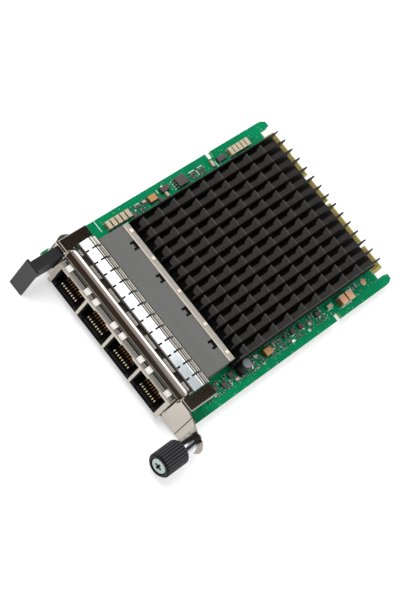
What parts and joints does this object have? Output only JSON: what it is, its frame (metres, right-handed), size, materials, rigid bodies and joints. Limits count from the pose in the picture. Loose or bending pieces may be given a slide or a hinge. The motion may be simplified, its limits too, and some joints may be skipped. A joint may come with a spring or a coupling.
{
  "type": "network adapter card",
  "caption": "Plug-in network adapter card with a row of modular jacks, a black finned heat sink, a pull tab and a captive thumbscrew.",
  "frame": {"origin": "middle of the card-edge tongue's rear edge, halfway through the board's thickness", "axes": "+Z to the component side of the board, -Y out of the ports, +X along the port row towards the thumbscrew"},
  "size_m": [0.0847, 0.1323, 0.0179],
  "materials": {
    "green_board": "solder mask over glass-fibre laminate",
    "nickel_sheet": "nickel-plated sheet",
    "spring_steel": "bright spring steel",
    "black_plastic": "moulded",
    "grey_plastic": "fine texture",
    "contact_gold": "gold-plated wires",
    "zinc": "zinc-plated",
    "black_metal": "black anodised",
    "ceramic": "fired ceramic",
    "orange_resin": "moulded resin",
    "can_aluminium": "drawn can",
    "pad": "soft gap filler"
  },
  "bodies": {
    "card": {"circuit_board": "green_board", "jack_shield": "nickel_sheet", "jack_rear_cover": "nickel_sheet", "bracket": "nickel_sheet", "emi_finger_strip": "spring_steel", "side_spring": "spring_steel", "thumbscrew_ferrule": "spring_steel", "jack_housing": "black_plastic", "magnetics_1": "black_plastic", "contact_tray_1": "contact_gold", "heat_sink_screw_1": "zinc", "magnetics_2": "black_plastic", "contact_tray_2": "contact_gold", "heat_sink_screw_2": "zinc", "magnetics_3": "black_plastic", "contact_tray_3": "contact_gold", "heat_sink_screw_3": "zinc", "magnetics_4": "black_plastic", "contact_tray_4": "contact_gold", "heat_sink_screw_4": "zinc", "controller_chip": "black_plastic", "memory_chip": "black_plastic", "power_chip": "black_plastic", "pull_tab": "grey_plastic", "bracket_screw_left": "zinc", "bracket_screw_right": "zinc", "heat_sink_base": "black_metal", "heat_sink_fin_01": "black_metal", "heat_sink_fin_02": "black_metal", "heat_sink_fin_03": "black_metal", "heat_sink_fin_04": "black_metal", "heat_sink_fin_05": "black_metal", "heat_sink_fin_06": "black_metal", "heat_sink_fin_07": "black_metal", "heat_sink_fin_08": "black_metal", "heat_sink_fin_09": "black_metal", "heat_sink_fin_10": "black_metal", "heat_sink_fin_11": "black_metal", "heat_sink_fin_12": "black_metal", "heat_sink_fin_13": "black_metal", "heat_sink_fin_14": "black_metal", "heat_sink_fin_15": "black_metal", "chip_capacitor_01": "ceramic", "chip_capacitor_02": "ceramic", "chip_capacitor_03": "ceramic", "chip_capacitor_04": "ceramic", "chip_capacitor_05": "ceramic", "chip_capacitor_06": "ceramic", "chip_capacitor_07": "ceramic", "chip_capacitor_08": "ceramic", "chip_capacitor_09": "ceramic", "chip_capacitor_10": "ceramic", "output_capacitor_1": "ceramic", "output_capacitor_2": "ceramic", "moulded_capacitor": "orange_resin", "electrolytic_capacitor": "can_aluminium", "thermal_pad": "pad"},
    "thumbscrew_slide": {"retaining_ring": "spring_steel"},
    "thumbscrew_turn": {"thumbscrew_knob": "grey_plastic", "thumbscrew_screw": "zinc"}
  },
  "joints": [
    {"name": "thumbscrew_push", "type": "slide", "parent": "card", "child": "thumbscrew_slide", "axis": [0, 1, 0], "range_m": [0, 0.0045]},
    {"name": "thumbscrew_spin", "type": "hinge", "parent": "thumbscrew_slide", "child": "thumbscrew_turn", "pos_m": [0.0421, -0.125, 0.00298], "axis": [0, 1, 0], "continuous": true}
  ]
}
